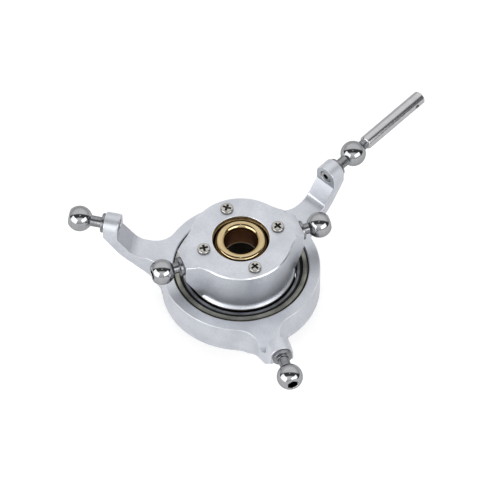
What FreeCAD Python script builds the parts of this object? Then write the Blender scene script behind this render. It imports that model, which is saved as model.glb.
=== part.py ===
import FreeCAD, Part
import math
import os
import re

import Sketcher

# A model helicopter's swashplate: a fixed ring with three arms, and a hub that turns in it on a
# thin ball bearing and tilts on the main shaft by a ball in a split seat.
# Millimetres. The origin is the centre of the ball; +Z runs up the shaft, +Y along the guide arm.

os.makedirs("parts", exist_ok=True)
doc = FreeCAD.newDocument("swashplate")
sheet = doc.addObject("Spreadsheet::Sheet", "sizes")

# ---------------------------------------------------------------- driving sizes
SIZES = [
    # main shaft and centre ball
    ("shaft_diameter", 5.0, "main shaft that the centre ball slides on"),
    ("shaft_clearance", 0.01, "radial clearance of the shaft in the ball"),
    ("ball_face_width", 1.15, "flat ring of the centre ball, from bore to sphere"),
    ("centre_ball_width", 4.7, "across the centre ball's two faces"),
    ("bore_mouth_round", 0.75, "round at each mouth of the shaft bore"),
    ("ball_face_round", 0.3, "round between the ball's face and its sphere"),
    # split seat that holds the ball
    ("liner_thickness", 0.55, "wall of the seat liner halves"),
    ("liner_clearance", 0.03, "radial gap inside and outside the liner"),
    ("liner_height", 1.5, "from the ball's centre to a liner half's far edge"),
    ("liner_split", 0.1, "gap between the liner halves"),
    # rotating hub
    ("hub_lap", 0.46, "hub's barrel outside the bearing's bore"),
    ("hub_rise", 2.5, "hub's top face above the ball's centre"),
    ("hub_angle", 63.9, "turn of the hub's link bosses from the +X axis, degrees"),
    ("hub_edge_chamfer", 0.15, "chamfer round the hub's top"),
    ("socket_mouth_chamfer", 0.18, "chamfer at the socket's mouth"),
    ("hub_flare_width", 0.42, "how far the hub's foot flares past the barrel"),
    ("hub_flare_height", 0.85, "height of the flare"),
    ("hub_foot_edge", 0.15, "upright edge of the hub's foot"),
    ("link_boss_length", 1.74, "link boss's end face outside the barrel"),
    ("link_boss_root_inset", 0.86, "where the boss's sides begin to taper, inside the barrel"),
    ("link_boss_root_width", 7.2, "width of the boss at its root"),
    ("link_boss_tip_width", 3.9, "width of the boss at its end face"),
    ("link_boss_face_rise", 1.6, "end face's top above the stud axis"),
    ("link_boss_face_drop", 1.7, "end face's bottom below the stud axis"),
    ("link_boss_foot_gap", 0.2, "boss's underside above the bearing face"),
    # clamp sleeve
    ("sleeve_neck_step", 0.3, "neck of the sleeve inside the bearing's bore"),
    ("sleeve_clearance", 0.02, "radial gap between neck and hub"),
    ("sleeve_spigot_clearance", 0.01, "radial gap between spigot and bearing bore"),
    ("clamp_gap", 0.1, "gap over the neck that lets the screws clamp the bearing"),
    ("sleeve_flange_lap", 0.7, "flange under the inner race, outside the bore"),
    ("sleeve_flange_thickness", 0.5, "thickness of that flange"),
    ("shaft_window_diameter", 9.6, "opening at the sleeve's foot that lets the shaft lean"),
    # clamp screws
    ("screw_count", 4, "clamp screws"),
    ("screw_diameter", 1.2, "thread of the clamp screws"),
    ("screw_clearance", 0.04, "radial gap of the screws in the hub"),
    ("screw_length", 6.0, "length under the head"),
    ("screw_hole_spare", 0.4, "tapped hole beyond the screw's end"),
    ("screw_head_diameter", 2.0, "pan head"),
    ("screw_head_height", 0.5, "pan head"),
    ("screw_head_edge", 0.25, "upright edge of the pan head"),
    ("cross_recess_span", 1.15, "cross recess, tip to tip"),
    ("cross_recess_width", 0.28, "width of its slots"),
    ("cross_recess_depth", 0.3, "depth of its slots"),
    # main bearing, 15 x 21 x 4
    ("bearing_bore", 15.0, "bearing bore"),
    ("bearing_outer_diameter", 21.0, "bearing outer diameter"),
    ("bearing_width", 4.0, "bearing width"),
    ("bearing_drop", 4.7, "bearing's top face below the ball's centre"),
    ("race_chamfer", 0.2, "chamfer of the race corners"),
    ("ball_share", 0.5293, "bearing ball, of the section between bore and outside"),
    ("rolling_ball_count", 13, "bearing balls"),
    ("rolling_clearance", 0.02, "radial gap between ball and groove"),
    ("groove_share", 0.5227, "radius of the ball grooves, of a ball's diameter"),
    ("inner_shoulder_share", 0.154, "inner race's shoulder over its groove, of a ball"),
    ("outer_shoulder_share", 0.198, "outer race's shoulder over its groove, of a ball"),
    ("cage_share", 0.68, "crown cage's thickness, of the gap between the shoulders"),
    ("cage_horn", 0.3, "cage above the ball centres"),
    ("cage_pocket_clearance", 0.05, "gap round a ball in its pocket"),
    ("shield_thickness", 0.16, "shield plate"),
    ("shield_depth", 0.42, "shield seat below the race face"),
    ("shield_rebate", 0.14, "rebate outside the shoulder that seats the shield"),
    ("shield_inner_gap", 0.15, "gap between shield and inner race"),
    ("shield_fit_gap", 0.01, "gap round the shield and its clip"),
    ("clip_width", 0.3, "snap ring that holds a shield, across its section"),
    ("clip_thickness", 0.16, "snap ring's thickness"),
    # stationary ring
    ("ring_wall", 1.8, "wall outside the bearing"),
    ("ring_seat_clearance", 0.01, "radial gap round the bearing"),
    ("ring_rim_rise", 0.1, "ring's top above the bearing's top"),
    ("ring_floor", 1.2, "shoulder under the outer race"),
    ("ring_shoulder_width", 0.8, "how far that shoulder reaches in"),
    ("ring_edge_chamfer", 0.15, "chamfer at the ring's seat and bottom edge"),
    # arms of the stationary ring
    ("arm_count", 3, "arms of the stationary ring"),
    ("arm_width", 3.7, "width of an arm"),
    ("arm_web_radius", 3.4, "round between arm and ring, in plan"),
    ("arm_reach", 21.5, "arm's end face from the shaft axis"),
    ("arm_boss_length", 2.3, "length of the boss at the arm's end"),
    ("arm_sill_drop", 1.5, "foot of the boss's inner face below the stud axis"),
    ("arm_ramp_angle", 50.0, "slope of the ramp up to the boss, degrees"),
    ("arm_ramp_round", 2.4, "round at the ramp's foot"),
    ("arm_tip_drop", 1.4, "foot of the end face below the stud axis"),
    ("arm_root_step", 0.3, "flat foot of the arm outside the ring"),
    ("arm_root_angle", 38.5, "slope of the underside by the ring, degrees"),
    ("arm_tip_angle", 53.0, "slope of the underside by the end face, degrees"),
    ("arm_heel_round", 9.0, "round between those slopes"),
    # ball studs
    ("link_ball_diameter", 4.0, "link balls"),
    ("link_ball_flat", 0.4, "depth of the flat at a ball's end"),
    ("arm_ball_standoff", 4.1, "arm ball centres from the arm's end face"),
    ("hub_ball_standoff", 3.25, "hub ball centres from the link boss's end face"),
    ("stud_neck_diameter", 1.7, "neck behind a ball"),
    ("stud_collar_diameter", 3.05, "collar against the boss"),
    ("stud_collar_thickness", 0.55, "collar against the boss"),
    ("stud_thread_diameter", 2.0, "thread of the studs"),
    ("thread_clearance", 0.02, "radial gap of a modelled thread in its hole"),
    ("arm_stud_thread_length", 2.0, "thread of an arm stud"),
    ("hub_stud_thread_length", 2.1, "thread of a hub stud"),
    ("hub_stud_hole_spare", 0.1, "hub's tapped hole beyond the stud's end"),
    ("hex_width", 1.5, "hexagon socket across flats"),
    ("hex_depth", 1.3, "hexagon socket in a ball"),
    ("pin_hex_width", 1.3, "hexagon socket at the guide stud's inner end"),
    ("pin_hex_depth", 1.0, "depth of that socket"),
    # guide pin
    ("pin_diameter", 2.2, "guide pin"),
    ("pin_standoff", 2.7, "inner end of the pin from the centre of its ball"),
    ("pin_length", 12.9, "length of the pin"),
    ("pin_neck_diameter", 1.6, "neck between ball and pin"),
    ("pin_chamfer", 0.2, "chamfers of the pin"),
    ("pin_hole_diameter", 0.8, "cross hole near the pin's end"),
    ("pin_hole_inset", 1.9, "cross hole from the pin's end"),
]

for row, (alias, number, note) in enumerate(SIZES, start=1):
    sheet.set(f"A{row}", alias)
    sheet.set(f"B{row}", str(number))
    sheet.setAlias(f"B{row}", alias)
    sheet.set(f"C{row}", note)
doc.recompute()
ALIASES = {alias for alias, _, _ in SIZES}

# Places and fits that follow from the sizes, written with the same words.
FOLLOWS = {
    "bore_radius": "shaft_diameter / 2 + shaft_clearance",
    "ball_half": "centre_ball_width / 2",
    "ball_face": "bore_radius + ball_face_width",
    "ball_radius": "sqrt(ball_face ^ 2 + ball_half ^ 2)",
    "liner_inside": "ball_radius + liner_clearance",
    "liner_outside": "liner_inside + liner_thickness",
    "socket_radius": "liner_outside + liner_clearance",
    "hub_radius": "bearing_bore / 2 + hub_lap",
    "boss_reach": "hub_radius + link_boss_length",
    "boss_root": "hub_radius - link_boss_root_inset",
    "socket_mouth": "sqrt(socket_radius ^ 2 - hub_rise ^ 2)",
    "foot_radius": "hub_radius + hub_flare_width",
    "boss_foot": "link_boss_foot_gap - bearing_drop",
    "neck_radius": "bearing_bore / 2 - sleeve_neck_step",
    "spigot_radius": "bearing_bore / 2 - sleeve_spigot_clearance",
    "flange_radius": "bearing_bore / 2 + sleeve_flange_lap",
    "window_radius": "shaft_window_diameter / 2",
    "bearing_bottom": "bearing_drop + bearing_width",
    "sleeve_bottom": "bearing_bottom + sleeve_flange_thickness",
    "screw_radius": "screw_diameter / 2",
    "screw_circle": "(socket_radius + neck_radius) / 2",
    "race_half": "bearing_width / 2",
    "rolling_pitch": "(bearing_bore + bearing_outer_diameter) / 4",
    "rolling_radius": "ball_share * (bearing_outer_diameter - bearing_bore) / 4",
    "groove_radius": "groove_share * 2 * rolling_radius",
    "inner_land": "rolling_pitch - rolling_radius * (1 - 2 * inner_shoulder_share)",
    "outer_land": "rolling_pitch + rolling_radius * (1 - 2 * outer_shoulder_share)",
    "cage_thickness": "cage_share * (outer_land - inner_land)",
    "cage_foot": "(rolling_radius + cage_pocket_clearance + shield_seat) / 2",
    "groove_shift": "groove_radius - rolling_radius - rolling_clearance",
    "inner_groove_half": "sqrt(groove_radius ^ 2 - (rolling_pitch + groove_shift - inner_land) ^ 2)",
    "outer_groove_half": "sqrt(groove_radius ^ 2 - (outer_land - rolling_pitch + groove_shift) ^ 2)",
    "rebate_radius": "outer_land + shield_rebate",
    "shield_seat": "race_half - shield_depth",
    "ring_radius": "bearing_outer_diameter / 2 + ring_wall",
    "seat_radius": "bearing_outer_diameter / 2 + ring_seat_clearance",
    "rim_drop": "bearing_drop - ring_rim_rise",
    "ring_bottom": "bearing_bottom + ring_floor",
    "arm_ball_reach": "arm_reach + arm_ball_standoff",
    "hub_ball_reach": "boss_reach + hub_ball_standoff",
    "arm_half": "arm_width / 2",
    "web_centre": "arm_half + arm_web_radius",
    "web_centre_reach": "sqrt((ring_radius + arm_web_radius) ^ 2 - web_centre ^ 2)",
    "web_share": "ring_radius / (ring_radius + arm_web_radius)",
    "root_reach": "ring_radius + arm_root_step",
    "boss_start": "arm_reach - arm_boss_length",
    "ramp_foot": "boss_start - (rim_drop - arm_sill_drop) / tan(arm_ramp_angle * 1 deg)",
    "ramp_tangent": "arm_ramp_round * tan(arm_ramp_angle * 0.5 deg)",
    "root_slope": "tan(arm_root_angle * 1 deg)",
    "tip_slope": "tan(arm_tip_angle * 1 deg)",
    "heel_reach": "(tip_slope * arm_reach + arm_tip_drop - ring_bottom - root_slope * root_reach)"
    " / (tip_slope - root_slope)",
    "heel_drop": "arm_tip_drop + tip_slope * (arm_reach - heel_reach)",
    "heel_tangent": "arm_heel_round * tan((arm_tip_angle - arm_root_angle) * 0.5 deg)",
    "thread_radius": "stud_thread_diameter / 2",
    "tapped_radius": "thread_radius + thread_clearance",
    "collar_radius": "stud_collar_diameter / 2",
    "stud_neck": "stud_neck_diameter / 2",
    "pin_neck": "pin_neck_diameter / 2",
    "link_radius": "link_ball_diameter / 2",
    "flat_reach": "link_radius - link_ball_flat",
    "flat_radius": "sqrt(link_radius ^ 2 - flat_reach ^ 2)",
    "pin_radius": "pin_diameter / 2",
    "pin_start": "arm_ball_reach + pin_standoff",
    "pin_end": "pin_start + pin_length",
}
CLEAR = 1.0  # how far a cutting outline runs past what it cuts


# ---------------------------------------------------------------- helpers
def spell(text):
    """The expression with every word turned into sheet cells."""

    def word(match):
        name = match.group(0)
        if name in ALIASES:
            return "sizes." + name
        if name in FOLLOWS:
            return "(" + spell(FOLLOWS[name]) + ")"
        return name

    return re.sub(r"[a-z_]+", word, str(text))


def number(text):
    """What the expression comes to with the sheet's present values."""
    return float(sheet.evalExpression(spell(text)))


def bind(thing, attribute, text):
    thing.setExpression(attribute, spell(text))


def new_body(name):
    body = doc.addObject("PartDesign::Body", name)
    body.Label = name
    return body


def origin_item(body, role):
    for item in body.Origin.OriginFeatures:
        if item.Role == role:
            return item
    raise ValueError(role)


def new_sketch(body, name, plane, shift=None):
    """An empty sketch on one of the body's origin planes, moved along the plane's normal."""
    sketch = body.newObject("Sketcher::SketchObject", name)
    sketch.AttachmentSupport = [(origin_item(body, plane), "")]
    sketch.MapMode = "FlatFace"
    if shift is not None:
        bind(sketch, "AttachmentOffset.Base.z", shift)
    return sketch


def pin_point(sketch, element, end, x, y):
    """Ties one end of a sketch element to a place given by two expressions."""
    for kind, text in (("DistanceX", x), ("DistanceY", y)):
        index = sketch.addConstraint(
            Sketcher.Constraint(kind, -1, 1, element, end, number(text))
        )
        bind(sketch, f"Constraints[{index}]", text)


def add_loop(sketch, corners, arcs=None):
    """A closed outline through the corners. arcs[i] is the round stretch that follows corner i: its
    radius, and +1 where it runs counterclockwise or -1 where it runs clockwise."""
    arcs = arcs or {}
    first = sketch.GeometryCount
    count = len(corners)
    places = [FreeCAD.Vector(number(x), number(y), 0) for x, y in corners]
    ends = []
    for i, start in enumerate(places):
        stop = places[(i + 1) % count]
        if i not in arcs:
            sketch.addGeometry(Part.LineSegment(start, stop), False)
            ends.append((1, 2))
            continue
        radius, turn = number(arcs[i][0]), arcs[i][1]
        chord = stop - start
        side = FreeCAD.Vector(-chord.y, chord.x, 0).normalize() * turn
        centre = (start + stop) / 2 + side * math.sqrt(radius**2 - (chord.Length / 2) ** 2)
        circle = Part.Circle(centre, FreeCAD.Vector(0, 0, 1), radius)
        angles = [math.atan2(p.y - centre.y, p.x - centre.x) for p in (start, stop)]
        if turn < 0:
            angles.reverse()
        sketch.addGeometry(Part.ArcOfCircle(circle, *angles), False)
        ends.append((1, 2) if turn > 0 else (2, 1))
    for i, (x, y) in enumerate(corners):
        after = (i + 1) % count
        sketch.addConstraint(
            Sketcher.Constraint("Coincident", first + i, ends[i][1], first + after, ends[after][0])
        )
        pin_point(sketch, first + i, ends[i][0], x, y)
        if i in arcs:
            index = sketch.addConstraint(
                Sketcher.Constraint("Radius", first + i, number(arcs[i][0]))
            )
            bind(sketch, f"Constraints[{index}]", arcs[i][0])


def add_circle(sketch, x, y, radius):
    centre = FreeCAD.Vector(number(x), number(y), 0)
    index = sketch.addGeometry(
        Part.Circle(centre, FreeCAD.Vector(0, 0, 1), number(radius)), False
    )
    pin_point(sketch, index, 3, x, y)
    constraint = sketch.addConstraint(Sketcher.Constraint("Radius", index, number(radius)))
    bind(sketch, f"Constraints[{constraint}]", radius)


def outline(body, name, plane, corners, arcs=None, shift=None):
    sketch = new_sketch(body, name, plane, shift)
    add_loop(sketch, corners, arcs)
    return sketch


def revolve(body, name, sketch, axis="V_Axis", kind="PartDesign::Revolution"):
    """The outline turned once round one of its own sketch axes, added or, as a Groove, cut away."""
    feature = body.newObject(kind, name)
    feature.Profile = sketch
    feature.ReferenceAxis = (sketch, [axis])
    feature.Angle = 360
    doc.recompute()
    return feature


def extrude(body, name, sketch, length=None, kind="PartDesign::Pad", both=False):
    """A Pad or a Pocket of that length, or right through where no length is given."""
    feature = body.newObject(kind, name)
    feature.Profile = sketch
    feature.SideType = "Symmetric" if both else "One side"
    if length is None:
        feature.Type = "ThroughAll"
    else:
        bind(feature, "Length", length)
    doc.recompute()
    return feature


def pattern(body, name, features, count):
    """The features repeated evenly round the shaft axis."""
    feature = body.newObject("PartDesign::PolarPattern", name)
    feature.Originals = features
    feature.Axis = (origin_item(body, "Z_Axis"), [""])
    feature.Angle = 360
    bind(feature, "Occurrences", count)
    body.Tip = feature
    doc.recompute()
    return feature


def circles_at(feature, radius, height):
    """Names of the feature's circular edges about its Z axis, of that radius and height."""
    names = []
    for index, edge in enumerate(feature.Shape.Edges, start=1):
        curve = edge.Curve
        if not isinstance(curve, Part.Circle):
            continue
        off_axis = math.hypot(curve.Center.x, curve.Center.y)
        near = max(off_axis, abs(curve.Radius - radius), abs(curve.Center.z - height))
        if near < 0.001:
            names.append(f"Edge{index}")
    return names


def dress(body, name, kind, base, edges, size):
    """A Fillet or a Chamfer of the named edges."""
    feature = body.newObject(kind, name)
    feature.Base = (base, edges)
    bind(feature, "Radius" if kind.endswith("Fillet") else "Size", size)
    body.Tip = feature
    doc.recompute()
    return feature


def place(body, height="0", turn="0", over=False):
    """Lifts a body along the shaft and turns it about it, upside down where over is set."""
    if over:
        body.Placement.Rotation = FreeCAD.Rotation(FreeCAD.Vector(1, 0, 0), 180)
    else:
        body.Placement.Rotation = FreeCAD.Rotation(FreeCAD.Vector(0, 0, 1), 1)
        bind(body, "Placement.Rotation.Angle", turn)
    bind(body, "Placement.Base.z", height)
    return body


# ---------------------------------------------------------------- stationary ring
def stationary_ring():
    body = new_body("stationary_ring")
    section = outline(
        body,
        "ring_section",
        "XZ_Plane",
        [
            ("seat_radius - ring_shoulder_width", "-ring_bottom"),
            ("ring_radius - ring_edge_chamfer", "-ring_bottom"),
            ("ring_radius", "ring_edge_chamfer - ring_bottom"),
            ("ring_radius", "-rim_drop"),
            ("seat_radius + ring_edge_chamfer", "-rim_drop"),
            ("seat_radius", "-rim_drop - ring_edge_chamfer"),
            ("seat_radius", "-bearing_bottom"),
            ("seat_radius - ring_shoulder_width", "-bearing_bottom"),
        ],
    )
    revolve(body, "ring", section)
    arm = [arm_plan(body), arm_top_cut(body), arm_under_cut(body), arm_crown_cut(body)]
    hole = new_sketch(body, "stud_hole_circle", "XZ_Plane", "-seat_radius")
    add_circle(hole, "0", "0", "tapped_radius")
    arm.append(extrude(body, "stud_hole", hole, kind="PartDesign::Pocket"))
    pattern(body, "arms", arm, "arm_count")
    return body


def arm_plan(body):
    """The arm seen from above, with its webs running round into the ring."""
    root_x, root_y = "web_centre * web_share", "web_centre_reach * web_share"
    sketch = outline(
        body,
        "arm_outline",
        "XY_Plane",
        [
            ("arm_half", "arm_reach"),
            ("-arm_half", "arm_reach"),
            ("-arm_half", "web_centre_reach"),
            (f"-{root_x}", root_y),
            (root_x, root_y),
            ("arm_half", "web_centre_reach"),
        ],
        {2: ("arm_web_radius", -1), 4: ("arm_web_radius", -1)},
        shift="-ring_bottom",
    )
    return extrude(body, "arm", sketch, f"ring_bottom + arm_half + {CLEAR}")


def arm_top_cut(body):
    """Takes away what lies over the arm's flat, its ramp and the boss's inner face."""
    over = f"arm_half + 2 * {CLEAR}"
    sketch = outline(
        body,
        "arm_top_outline",
        "YZ_Plane",
        [
            ("seat_radius", "-rim_drop"),
            ("ramp_foot - ramp_tangent", "-rim_drop"),
            (
                "ramp_foot + ramp_tangent * cos(arm_ramp_angle * 1 deg)",
                "ramp_tangent * sin(arm_ramp_angle * 1 deg) - rim_drop",
            ),
            ("boss_start", "-arm_sill_drop"),
            ("boss_start", over),
            ("seat_radius", over),
        ],
        {1: ("arm_ramp_round", 1)},
    )
    return extrude(body, "arm_top_cut", sketch, kind="PartDesign::Pocket", both=True)


def arm_under_cut(body):
    """Takes away what lies under the arm, which rises from the ring's foot in two slopes."""
    sketch = outline(
        body,
        "arm_under_outline",
        "YZ_Plane",
        [
            ("root_reach", "-ring_bottom"),
            ("root_reach", f"-ring_bottom - {CLEAR}"),
            (f"arm_reach + {CLEAR}", f"-ring_bottom - {CLEAR}"),
            (f"arm_reach + {CLEAR}", f"{CLEAR} * tip_slope - arm_tip_drop"),
            (
                "heel_reach + heel_tangent * cos(arm_tip_angle * 1 deg)",
                "heel_tangent * sin(arm_tip_angle * 1 deg) - heel_drop",
            ),
            (
                "heel_reach - heel_tangent * cos(arm_root_angle * 1 deg)",
                "-heel_drop - heel_tangent * sin(arm_root_angle * 1 deg)",
            ),
        ],
        {4: ("arm_heel_round", -1)},
    )
    return extrude(body, "arm_under_cut", sketch, kind="PartDesign::Pocket", both=True)


def arm_crown_cut(body):
    """Rounds the boss over the stud axis."""
    side, over = f"arm_half + {CLEAR}", f"arm_half + 2 * {CLEAR}"
    sketch = outline(
        body,
        "arm_crown_outline",
        "XZ_Plane",
        [
            ("arm_half", "0"),
            (side, "0"),
            (side, over),
            (f"-({side})", over),
            (f"-({side})", "0"),
            ("-arm_half", "0"),
            ("0", "arm_half"),
        ],
        {5: ("arm_half", -1), 6: ("arm_half", -1)},
        shift="-seat_radius",
    )
    return extrude(body, "arm_crown_cut", sketch, kind="PartDesign::Pocket")


# ---------------------------------------------------------------- ball studs
def ball_stud_profile(face, thread, centre):
    """Half section of a stud along its own axis, from its thread to the far side of its ball."""
    return [
        (f"{face} - {thread}", "0"),
        (f"{face} - {thread}", "thread_radius"),
        (face, "thread_radius"),
        (face, "collar_radius"),
        (f"{face} + stud_collar_thickness", "collar_radius"),
        (f"{face} + stud_collar_thickness", "stud_neck"),
        (f"{centre} - sqrt(link_radius ^ 2 - stud_neck ^ 2)", "stud_neck"),
    ]


def hex_corners(width):
    """The six corners of a hexagon of that width across its flats."""
    half, point, edge = f"{width} / 2", f"{width} / sqrt(3)", f"{width} / sqrt(12)"
    return [
        ("0", point),
        (f"-{half}", edge),
        (f"-{half}", f"-{edge}"),
        ("0", f"-{point}"),
        (half, f"-{edge}"),
        (half, edge),
    ]


def ball_stud(name, face, thread, centre, turn):
    """A link ball on a threaded stud, with a hexagon socket in the ball's flat."""
    body = new_body(name)
    profile = ball_stud_profile(face, thread, centre)
    profile.append((f"{centre} + flat_reach", "flat_radius"))
    profile.append((f"{centre} + flat_reach", "0"))
    section = outline(body, name + "_section", "XY_Plane", profile, {6: ("link_radius", -1)})
    revolve(body, name + "_turned", section, "H_Axis")
    plane = f"{centre} + flat_reach"
    socket = outline(body, name + "_hexagon", "YZ_Plane", hex_corners("hex_width"), shift=plane)
    extrude(body, name + "_socket", socket, "hex_depth", "PartDesign::Pocket")
    return place(body, turn=turn)


def guide_pin_stud():
    """The guide arm's stud: its ball carries the pin that slides in the anti-rotation guide."""
    body = new_body("guide_pin_stud")
    centre = "arm_ball_reach"
    profile = ball_stud_profile("arm_reach", "arm_stud_thread_length", centre)
    profile += [
        (f"{centre} + sqrt(link_radius ^ 2 - pin_neck ^ 2)", "pin_neck"),
        ("pin_start", "pin_neck"),
        ("pin_start", "pin_radius - pin_chamfer"),
        ("pin_start + pin_chamfer", "pin_radius"),
        ("pin_end - pin_chamfer", "pin_radius"),
        ("pin_end", "pin_radius - pin_chamfer"),
        ("pin_end", "0"),
    ]
    section = outline(body, "pin_section", "XY_Plane", profile, {6: ("link_radius", -1)})
    revolve(body, "pin_turned", section, "H_Axis")
    inner_end = "arm_reach - arm_stud_thread_length"
    corners = hex_corners("pin_hex_width")
    socket = outline(body, "pin_hexagon", "YZ_Plane", corners, shift=inner_end)
    cut = extrude(body, "pin_socket", socket, "pin_hex_depth", "PartDesign::Pocket")
    cut.Reversed = True
    doc.recompute()
    hole = new_sketch(body, "pin_hole_circle", "XZ_Plane")
    add_circle(hole, "pin_end - pin_hole_inset", "0", "pin_hole_diameter / 2")
    extrude(body, "pin_hole", hole, kind="PartDesign::Pocket", both=True)
    return place(body, turn="90")


# ---------------------------------------------------------------- main bearing
def bearing_outer_race():
    body = new_body("bearing_outer_race")
    outside = "bearing_outer_diameter / 2"
    upper = [
        ("rebate_radius", "race_half"),
        ("rebate_radius", "shield_seat"),
        ("outer_land", "shield_seat"),
        ("outer_land", "outer_groove_half"),
    ]
    lower = [(x, f"-({z})") for x, z in reversed(upper)]
    rim = [
        (f"{outside} - race_chamfer", "-race_half"),
        (outside, "race_chamfer - race_half"),
        (outside, "race_half - race_chamfer"),
        (f"{outside} - race_chamfer", "race_half"),
    ]
    corners = upper + lower + rim
    section = outline(body, "outer_race_section", "XZ_Plane", corners, {3: ("groove_radius", -1)})
    revolve(body, "outer_race_turned", section)
    return place(body, "-bearing_drop - race_half")


def bearing_inner_race():
    body = new_body("bearing_inner_race")
    inside = "bearing_bore / 2"
    corners = [
        ("inner_land", "race_half"),
        (f"{inside} + race_chamfer", "race_half"),
        (inside, "race_half - race_chamfer"),
        (inside, "race_chamfer - race_half"),
        (f"{inside} + race_chamfer", "-race_half"),
        ("inner_land", "-race_half"),
        ("inner_land", "-inner_groove_half"),
        ("inner_land", "inner_groove_half"),
    ]
    section = outline(body, "inner_race_section", "XZ_Plane", corners, {6: ("groove_radius", -1)})
    revolve(body, "inner_race_turned", section)
    return place(body, "-bearing_drop - race_half")


def bearing_balls():
    body = new_body("bearing_balls")
    body.AllowCompound = True
    ball = body.newObject("PartDesign::AdditiveSphere", "rolling_ball")
    bind(ball, "Radius", "rolling_radius")
    bind(ball, "Placement.Base.x", "rolling_pitch")
    doc.recompute()
    pattern(body, "ball_circle", [ball], "rolling_ball_count")
    return place(body, "-bearing_drop - race_half")


def bearing_cage():
    """A crown cage: a ring under the balls, with pockets that snap over them."""
    body = new_body("bearing_cage")
    inside, outside = "rolling_pitch - cage_thickness / 2", "rolling_pitch + cage_thickness / 2"
    section = outline(
        body,
        "cage_section",
        "XZ_Plane",
        [
            (inside, "-cage_foot"),
            (outside, "-cage_foot"),
            (outside, "cage_horn"),
            (inside, "cage_horn"),
        ],
    )
    revolve(body, "cage_turned", section)
    pocket = new_sketch(body, "cage_pocket_circle", "YZ_Plane", "rolling_pitch + cage_thickness")
    add_circle(pocket, "0", "0", "rolling_radius + cage_pocket_clearance")
    cut = extrude(body, "cage_pocket", pocket, "2 * cage_thickness", "PartDesign::Pocket")
    pattern(body, "cage_pockets", [cut], "rolling_ball_count")
    return place(body, "-bearing_drop - race_half")


def bearing_shield(name, over):
    body = new_body(name)
    inside, outside = "inner_land + shield_inner_gap", "rebate_radius - shield_fit_gap"
    low, high = "shield_seat", "shield_seat + shield_thickness"
    corners = [(inside, low), (outside, low), (outside, high), (inside, high)]
    section = outline(body, name + "_section", "XZ_Plane", corners)
    revolve(body, name + "_turned", section)
    return place(body, "-bearing_drop - race_half", over=over)


def shield_clip(name, over):
    """The flat snap ring that holds a shield in its rebate."""
    body = new_body(name)
    outside = "rebate_radius - shield_fit_gap"
    low = "shield_seat + shield_thickness"
    section = outline(
        body,
        name + "_section",
        "XZ_Plane",
        [
            (f"{outside} - clip_width", low),
            (outside, low),
            (outside, f"{low} + clip_thickness"),
            (f"{outside} - clip_width", f"{low} + clip_thickness"),
        ],
    )
    revolve(body, name + "_turned", section)
    return place(body, "-bearing_drop - race_half", over=over)


# ---------------------------------------------------------------- rotating hub
def rotating_hub():
    body = new_body("rotating_hub")
    side = [
        ("hub_radius", "hub_rise"),
        ("boss_reach", "link_boss_face_rise"),
        ("boss_reach", "-link_boss_face_drop"),
        ("hub_radius", "boss_foot"),
    ]
    corners = side + [(f"-{x}", z) for x, z in reversed(side)]
    sketch = outline(body, "link_boss_side", "XZ_Plane", list(reversed(corners)))
    extrude(body, "link_bosses", sketch, "link_boss_root_width", both=True)
    taper_link_bosses(body)
    section = outline(
        body,
        "hub_section",
        "XZ_Plane",
        [
            ("0", "-bearing_drop"),
            ("foot_radius", "-bearing_drop"),
            ("foot_radius", "hub_foot_edge - bearing_drop"),
            ("hub_radius", "hub_flare_height - bearing_drop"),
            ("hub_radius", "hub_rise - hub_edge_chamfer"),
            ("hub_radius - hub_edge_chamfer", "hub_rise"),
            ("0", "hub_rise"),
        ],
        {2: ("hub_flare_height", -1)},
    )
    revolve(body, "barrel", section)
    inside = outline(
        body,
        "socket_section",
        "XZ_Plane",
        [
            ("0", "-bearing_drop"),
            ("neck_radius + sleeve_clearance", "-bearing_drop"),
            ("neck_radius + sleeve_clearance", "0"),
            ("socket_radius", "0"),
            ("socket_mouth", "hub_rise"),
            ("0", "hub_rise"),
        ],
        {3: ("socket_radius", 1)},
    )
    revolve(body, "socket", inside, kind="PartDesign::Groove")
    hole = new_sketch(body, "screw_hole_circle", "XY_Plane")
    add_circle(hole, "screw_circle", "0", "screw_radius + screw_clearance")
    cut = extrude(body, "screw_hole", hole, kind="PartDesign::Pocket", both=True)
    pattern(body, "screw_holes", [cut], "screw_count")
    tapped = new_sketch(body, "link_stud_circle", "YZ_Plane", "boss_reach")
    add_circle(tapped, "0", "0", "tapped_radius")
    depth = "hub_stud_thread_length + hub_stud_hole_spare"
    cut = extrude(body, "link_stud_hole", tapped, depth, "PartDesign::Pocket")
    last = pattern(body, "link_stud_holes", [cut], "2")
    mouth = circles_at(last, number("socket_mouth"), number("hub_rise"))
    dress(body, "socket_mouth_edge", "PartDesign::Chamfer", last, mouth, "socket_mouth_chamfer")
    return place(body, turn="hub_angle")


def taper_link_bosses(body):
    """Trims the bosses' four corners, so that each boss narrows towards its end face."""
    sketch = new_sketch(body, "link_boss_corners", "XY_Plane")
    root, tip = "link_boss_root_width / 2", "link_boss_tip_width / 2"
    corner = [
        ("boss_root", root),
        ("boss_reach", tip),
        (f"boss_reach + {CLEAR}", tip),
        (f"boss_reach + {CLEAR}", f"{root} + {CLEAR}"),
        ("boss_root", f"{root} + {CLEAR}"),
    ]
    for along, across in ((1, 1), (1, -1), (-1, 1), (-1, -1)):
        add_loop(sketch, [(f"{along} * ({x})", f"{across} * ({y})") for x, y in corner])
    extrude(body, "boss_taper", sketch, kind="PartDesign::Pocket", both=True)


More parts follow.
